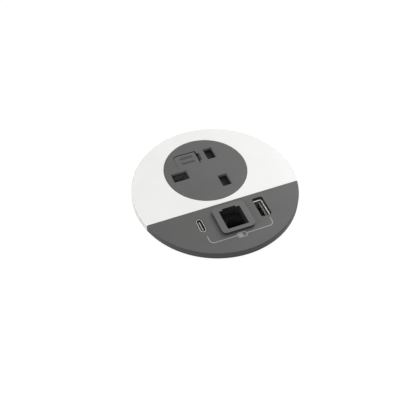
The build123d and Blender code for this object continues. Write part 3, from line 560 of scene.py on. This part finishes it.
def paint_pocket_shade(material, right_x, front_y, deep_z, open_z, foot_z):
    """Paints shade: blackens the foot of every wall, and the pocket that lies left of and behind a corner,
    with its level faces too as they go deeper.
    """
    tree = material.node_tree
    sides = tree.nodes["sides"]
    x, y, z = own_place(tree)
    left = combine(tree, "LESS_THAN", x, right_x)
    behind = combine(tree, "GREATER_THAN", y, front_y)
    pocket = combine(tree, "MULTIPLY", left, behind)
    foot = combine(tree, "LESS_THAN", z, foot_z)
    dark = combine(tree, "MAXIMUM", pocket, foot)
    painted_wall_shading = tuple(sides.inputs[low_input].default_value)[:3]
    walls = mix_tones(tree, dark, painted_wall_shading, painted_pocket_shade)
    tree.links.new(walls.outputs[2], sides.inputs[low_input])
    height = tree.nodes.new("ShaderNodeMapRange")
    height.inputs["From Min"].default_value = deep_z
    height.inputs["From Max"].default_value = open_z
    tree.links.new(z, height.inputs["Value"])
    outside = combine(tree, "SUBTRACT", 1, pocket)
    lit = combine(tree, "MAXIMUM", height.outputs["Result"], outside)
    level = sides.inputs[amount_input].links[0].from_socket
    tree.links.new(combine(tree, "MULTIPLY", level, lit), sides.inputs[amount_input])


painted_pocket_shade = (0.01, 0.01, 0.01)
pocket_right, pocket_front = 2 * mm, 18.5 * mm
pocket_deep, pocket_open = 2.9 * mm, 4.1 * mm
painted_shade_foot = 2.85 * mm
# The face's steep walls are painted paler than its top as painted light; the foot of each wall and the fuse
# pocket are painted black as shade.
face_grey = spark_grey("face_grey", 0.098, 0.115)
paint_pocket_shade(face_grey, pocket_right, pocket_front, pocket_deep, pocket_open, painted_shade_foot)
dress(face_grey, "socket_face")


# White trim and grey data plate
# Two satin mouldings make up the disc and meet in a straight seam. The white one snaps on and the grey
# one is screwed from below. A thin pale line printed on it ties the two ports to a plain battery sign.

satin_white = moulded_plastic("satin_white", (0.885, 0.88, 0.87), 0.42, 0.35 * mm, 0.008 * mm, mottle=0.012)
# The trim's steep sides are painted a little darker than its top, as painted shade.
dress(paint_side_shading(satin_white, (0.82, 0.815, 0.805)), "white_trim")
# The plate's skirt and hole walls are painted dark, as painted shade.
dress(spark_grey("plate_grey", 0.090, 0.04), "data_plate")


def printed_run(mesh, points, width, height, low):
    """Flat printed line of even width through a list of points."""
    left, right = [], []
    for i, p in enumerate(points):
        ahead = points[min(i + 1, len(points) - 1)]
        behind = points[max(i - 1, 0)]
        along = (Vector(ahead) - Vector(behind)).normalized()
        across = Vector((-along.y, along.x)) * width / 2
        left.append((p[0] + across.x, p[1] + across.y))
        right.append((p[0] - across.x, p[1] - across.y))
    layers = []
    for side in (left, right):
        layers.append([mesh.verts.new((x, y, low)) for x, y in side])
        layers.append([mesh.verts.new((x, y, low + height)) for x, y in side])
    low_left, top_left, low_right, top_right = layers
    for i in range(len(points) - 1):
        mesh.faces.new((top_left[i], top_right[i], top_right[i + 1], top_left[i + 1]))
        mesh.faces.new((low_left[i], top_left[i], top_left[i + 1], low_left[i + 1]))
        mesh.faces.new((top_right[i], low_right[i], low_right[i + 1], top_right[i + 1]))
    mesh.faces.new((low_left[0], low_right[0], top_right[0], top_left[0]))
    mesh.faces.new((low_left[-1], top_left[-1], top_right[-1], low_right[-1]))


def corner_run(start, corner, end, radius, steps=8):
    """Points of a run that turns one rounded corner."""
    first = (Vector(start) - Vector(corner)).normalized()
    second = (Vector(end) - Vector(corner)).normalized()
    middle = Vector(corner) + (first + second) * radius
    points = [start]
    for k in range(steps + 1):
        turn = math.radians(90) * k / steps
        p = middle - second * radius * math.cos(turn) - first * radius * math.sin(turn)
        points.append((p.x, p.y))
    points.append(end)
    return points


face_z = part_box("data_plate")[1].z
ink = moulded_plastic("pale_ink", (0.30, 0.30, 0.30), 0.5, 0.2 * mm, 0.004 * mm)
ink_height = 0.03 * mm
ink_low = face_z - 0.01 * mm
line_left, line_right = -17.7 * mm, 18.7 * mm
line_y, line_top = -36.2 * mm, -31 * mm
line_width, line_corner = 0.5 * mm, 2.6 * mm
sign_x, sign_y = 0.05 * mm, line_y - 0.15 * mm
sign_half_w, sign_half_h, sign_corner = 2.5 * mm, 1.45 * mm, 0.9 * mm
sign_width = 0.45 * mm
bar_places = (sign_x - 1.45 * mm, sign_x - 0.3 * mm)
bar_width, bar_half_h = 0.95 * mm, 1 * mm

print_mesh = bmesh.new()
for line_x, sign_end in ((line_left, sign_x - sign_half_w), (line_right, sign_x + sign_half_w)):
    run = corner_run((line_x, line_top), (line_x, line_y), (sign_end, line_y), line_corner)
    printed_run(print_mesh, run, line_width, ink_height, ink_low)
for side in (-1, 1):
    for end in (-1, 1):
        edge_x, edge_y = sign_x + end * sign_half_w, sign_y + side * sign_half_h
        quarter = corner_run((sign_x, edge_y), (edge_x, edge_y), (edge_x, sign_y), sign_corner)
        printed_run(print_mesh, quarter, sign_width, ink_height, ink_low)
for bar_x in bar_places:
    bar = [(bar_x, sign_y - bar_half_h), (bar_x, sign_y + bar_half_h)]
    printed_run(print_mesh, bar, bar_width, ink_height, ink_low)
bmesh.ops.recalc_face_normals(print_mesh, faces=print_mesh.faces)
new_piece("printed_line", print_mesh, ink, "module")


# Raised frame of the data port
# A square grey moulding stands proud of the plate round the opening. Its neck goes down through the
# deck, where two barbs catch, and holds the coupler.

# The frame's steep sides are painted near black, as painted shade under its lip.
dress(spark_grey("frame_grey", 0.107, 0.012), "jack_frame")


# Rear cover and mains inlet
# A black nylon disc, screwed to four bosses, closes the barrel. The shrouded inlet for the mains lead
# snaps into it, and the data lead goes up through its round hole.

dress(black_nylon, "rear_cover")
inlet_black = moulded_plastic("inlet_black", (0.014, 0.014, 0.015), 0.36, 0.4 * mm, 0.015 * mm)
dress(inlet_black, "mains_inlet")


# Washer and ring nut
# A smooth grey acetal washer slides under the desk top, and the black nylon ring nut presses it up.
# Scallops round the nut's edge let a hand turn it.

acetal_grey = moulded_plastic("acetal_grey", (0.42, 0.42, 0.40), 0.38, 0.8 * mm, 0.006 * mm)
dress(acetal_grey, "slip_washer")
dress(black_nylon, "clamp_nut")


# Desk top
# A wide pale top with a round hole, so the barrel hangs below it. Seen from below it lets the view
# through, so that the underside of the module shows.

def background_rays(tree):
    """1 for a ray that shows the background itself: straight, mirrored or through glass."""
    ray = tree.nodes.new("ShaderNodeLightPath")
    direct = combine(tree, "MAXIMUM", ray.outputs["Is Camera Ray"], ray.outputs["Is Glossy Ray"])
    return combine(tree, "MAXIMUM", direct, ray.outputs["Is Transmission Ray"])


def desk_finish(tone, glow_level):
    """Pale matt top that takes a shadow, looks nearly white and is clear from below."""
    material = bpy.data.materials.new("pale_desk")
    material.use_nodes = True
    tree = material.node_tree
    tree.nodes.remove(tree.nodes["Principled BSDF"])
    top = tree.nodes.new("ShaderNodeBsdfDiffuse")
    top.inputs["Color"].default_value = tone + (1,)
    glow = tree.nodes.new("ShaderNodeEmission")
    strength = combine(tree, "MULTIPLY", background_rays(tree), glow_level)
    tree.links.new(strength, glow.inputs["Strength"])
    both = tree.nodes.new("ShaderNodeAddShader")
    tree.links.new(top.outputs[0], both.inputs[0])
    tree.links.new(glow.outputs[0], both.inputs[1])
    clear = tree.nodes.new("ShaderNodeBsdfTransparent")
    side = tree.nodes.new("ShaderNodeNewGeometry")
    ray = tree.nodes.new("ShaderNodeLightPath")
    below = combine(tree, "MULTIPLY", side.outputs["Backfacing"], ray.outputs["Is Camera Ray"])
    mix = tree.nodes.new("ShaderNodeMixShader")
    tree.links.new(below, mix.inputs["Fac"])
    tree.links.new(both.outputs[0], mix.inputs[1])
    tree.links.new(clear.outputs[0], mix.inputs[2])
    tree.links.new(mix.outputs[0], tree.nodes["Material Output"].inputs["Surface"])
    return material


desk_z = -0.1 * mm
hole_radius = 40.3 * mm
top_radius = 3.0
desk_sides = 96
desk_tone = (0.12, 0.12, 0.12)
desk_glow = 0.92
desk_mesh = bmesh.new()
inner, outer = [], []
for k in range(desk_sides):
    turn = 2 * math.pi * k / desk_sides
    inner.append(desk_mesh.verts.new((hole_radius * math.cos(turn), hole_radius * math.sin(turn), desk_z)))
    outer.append(desk_mesh.verts.new((top_radius * math.cos(turn), top_radius * math.sin(turn), desk_z)))
for k in range(desk_sides):
    after = (k + 1) % desk_sides
    desk_mesh.faces.new((inner[k], outer[k], outer[after], inner[after]))
desk_data = bpy.data.meshes.new("desk_top")
desk_mesh.to_mesh(desk_data)
desk_mesh.free()
desk = bpy.data.objects.new("desk_top", desk_data)
desk_data.materials.append(desk_finish(desk_tone, desk_glow))
bpy.context.scene.collection.objects.link(desk)


# Light
# A plain pale surround, a wide overhead panel, one high in front, one behind on the right, a low one
# on the left, and two below the desk for the barrel.

room_level, background_level = 0.22, 1
world = bpy.data.worlds.new("pale_surround")
bpy.context.scene.world = world
world.use_nodes = True
room = world.node_tree
sky = room.nodes["Background"]
sky.inputs["Color"].default_value = (1, 1, 1, 1)
level = room.nodes.new("ShaderNodeMapRange")
level.inputs["To Min"].default_value = room_level
level.inputs["To Max"].default_value = background_level
room.links.new(background_rays(room), level.inputs["Value"])
room.links.new(level.outputs["Result"], sky.inputs["Strength"])


def panel(name, place, aim, size, share):
    """Square lamp that gives a surface facing it at the aim a share of full light."""
    lamp = bpy.data.lights.new(name, "AREA")
    lamp.size = size
    way = Vector(aim) - Vector(place)
    lamp.energy = share * math.pi ** 2 * way.length_squared
    holder = bpy.data.objects.new(name, lamp)
    holder.location = place
    holder.rotation_euler = way.to_track_quat("-Z", "Y").to_euler()
    bpy.context.scene.collection.objects.link(holder)


panel("overhead", (0.05, 0.02, 0.7), (0, 0, 0), 0.6, 0.21)
panel("high_front", (-0.25, -0.55, 0.5), (0, 0, 0), 0.4, 0.29)
panel("behind_right", (0.38, 0.28, 0.32), (0, 0, 0), 0.3, 0.49)
panel("low_left", (-0.65, -0.1, 0.2), (0, 0, 0), 0.4, 0.5)
panel("below_front", (-0.3, -0.5, -0.25), (0, 0, -0.03), 0.5, 0.6)
panel("below_right", (0.55, -0.1, -0.3), (0, 0, -0.03), 0.5, 0.4)


# Camera
# Placed by the pin apertures, which stand on a known pitch: it looks down from the front left.

lens_pixels = 750
image_width = 400
film_width = 36
azimuth, elevation, roll = math.radians(-23.43), math.radians(48.83), math.radians(1.52)
distance = 415.5 * mm
target = Vector((-9.99 * mm, -2.31 * mm, 0))
back = Vector((
    math.sin(azimuth) * math.cos(elevation), -math.cos(azimuth) * math.cos(elevation), math.sin(elevation)
))
right = (-back).cross(Vector((0, 0, 1))).normalized()
up = right.cross(-back)
right_rolled = right * math.cos(roll) + up * math.sin(roll)
up_rolled = up * math.cos(roll) - right * math.sin(roll)
camera = bpy.data.objects.new("camera", bpy.data.cameras.new("camera"))
camera.data.sensor_width = film_width
camera.data.lens = film_width * lens_pixels / image_width
camera.matrix_world = Matrix.Translation(target + back * distance) @ Matrix(
    (right_rolled, up_rolled, back)
).transposed().to_4x4()
bpy.context.scene.collection.objects.link(camera)
bpy.context.scene.camera = camera
bpy.context.scene.view_settings.view_transform = "Standard"
